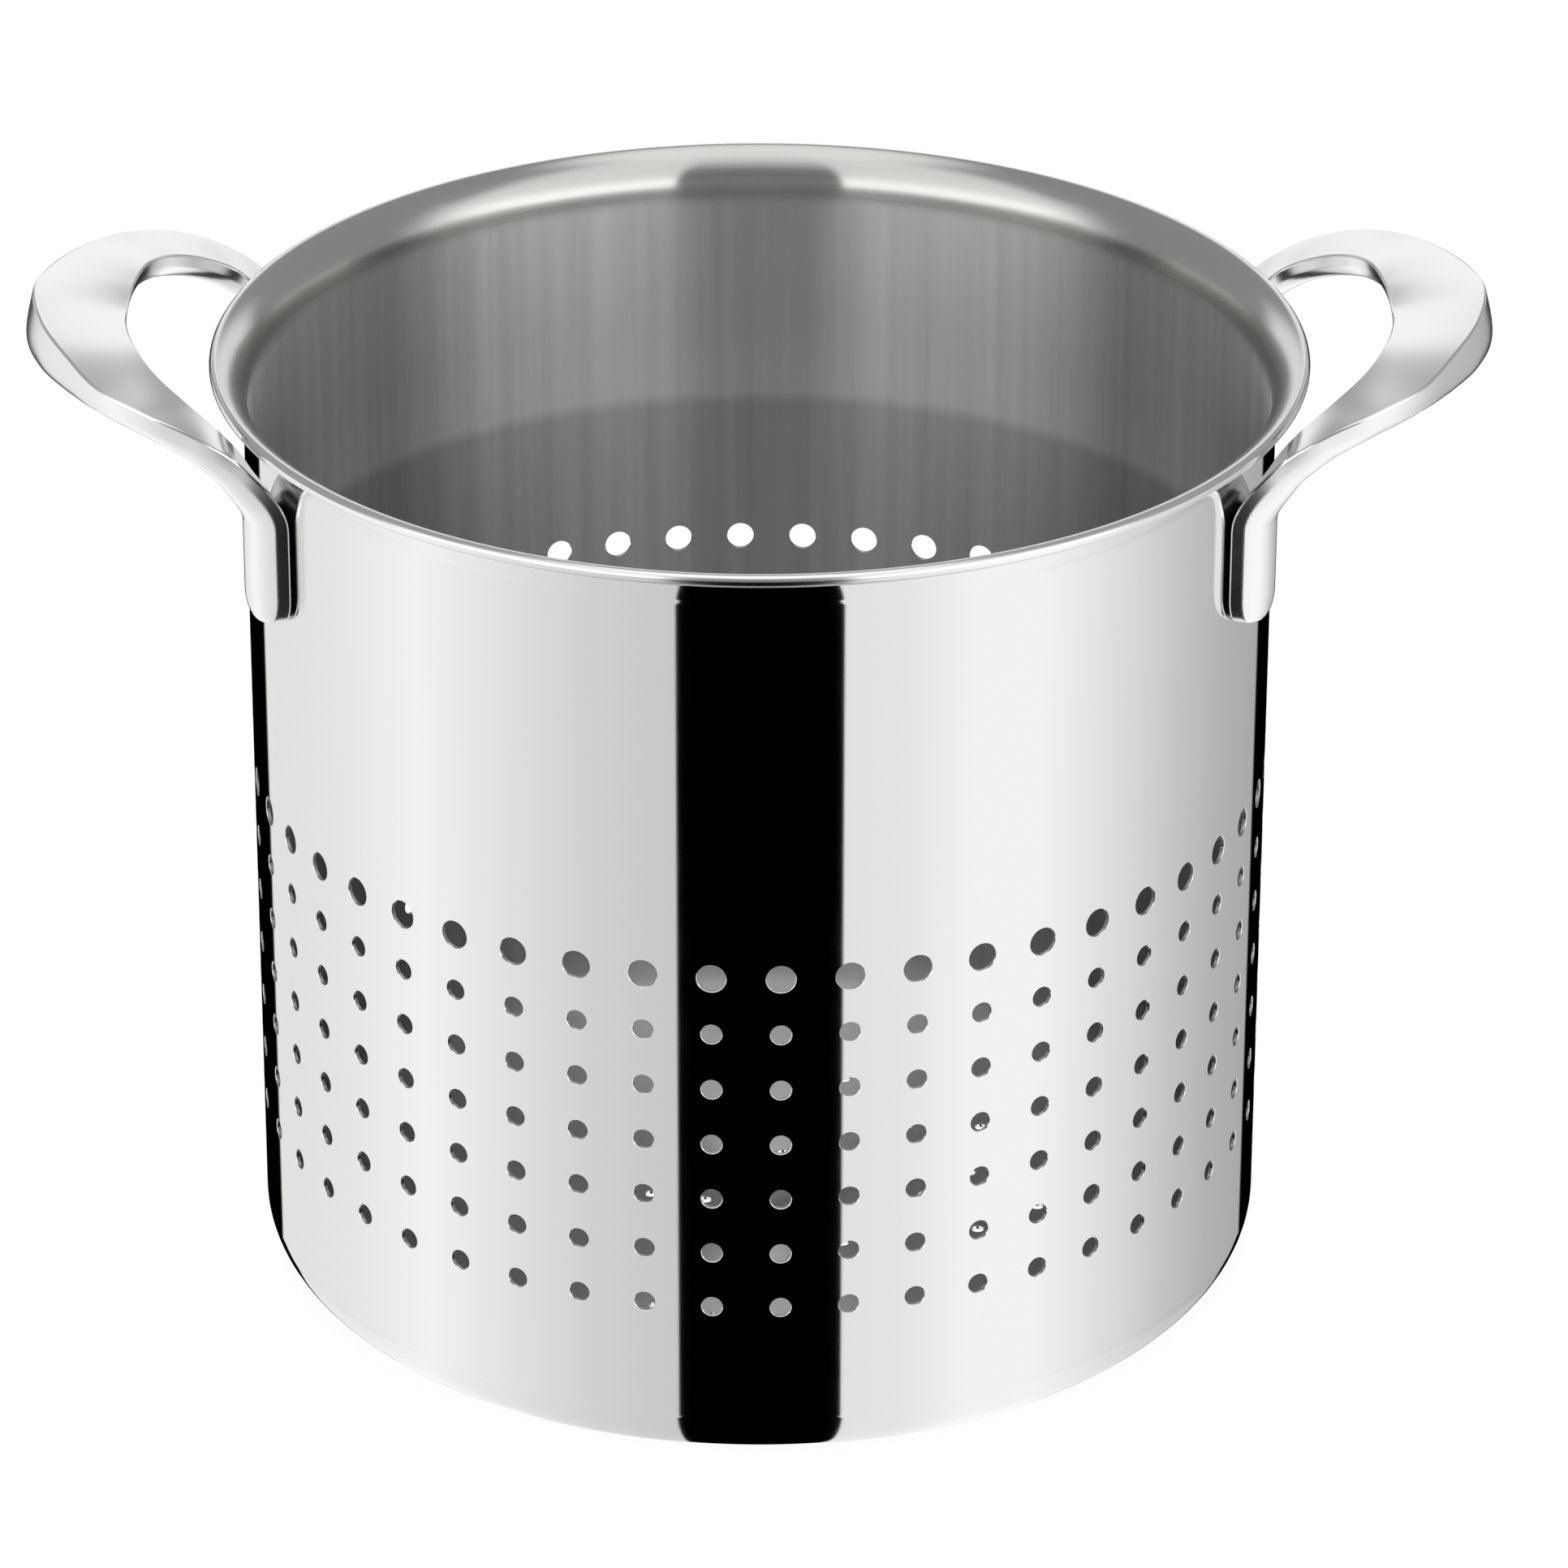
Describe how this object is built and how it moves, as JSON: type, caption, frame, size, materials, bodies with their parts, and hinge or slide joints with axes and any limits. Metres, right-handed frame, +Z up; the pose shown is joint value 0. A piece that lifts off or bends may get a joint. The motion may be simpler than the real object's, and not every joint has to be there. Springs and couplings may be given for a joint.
{
  "type": "pasta pot strainer insert",
  "caption": "Perforated stainless strainer insert of a pasta pot: a straight deep basket with a rolled rim and two cast loop handles welded to its wall.",
  "frame": {"origin": "centre of the underside of the base", "axes": "+Z up, the two handles lie along X, the front of the picture is towards -Y"},
  "size_m": [0.3172, 0.2382, 0.2281],
  "materials": {
    "drawn_steel": "mirror polished outside, brushed round the inside",
    "cast_steel": "polished casting",
    "weld_steel": "as welded, dull"
  },
  "bodies": {
    "root": {"basket": "drawn_steel", "left_handle": "cast_steel", "right_handle": "cast_steel", "left_handle_welds": "weld_steel", "right_handle_welds": "weld_steel"}
  },
  "joints": []
}
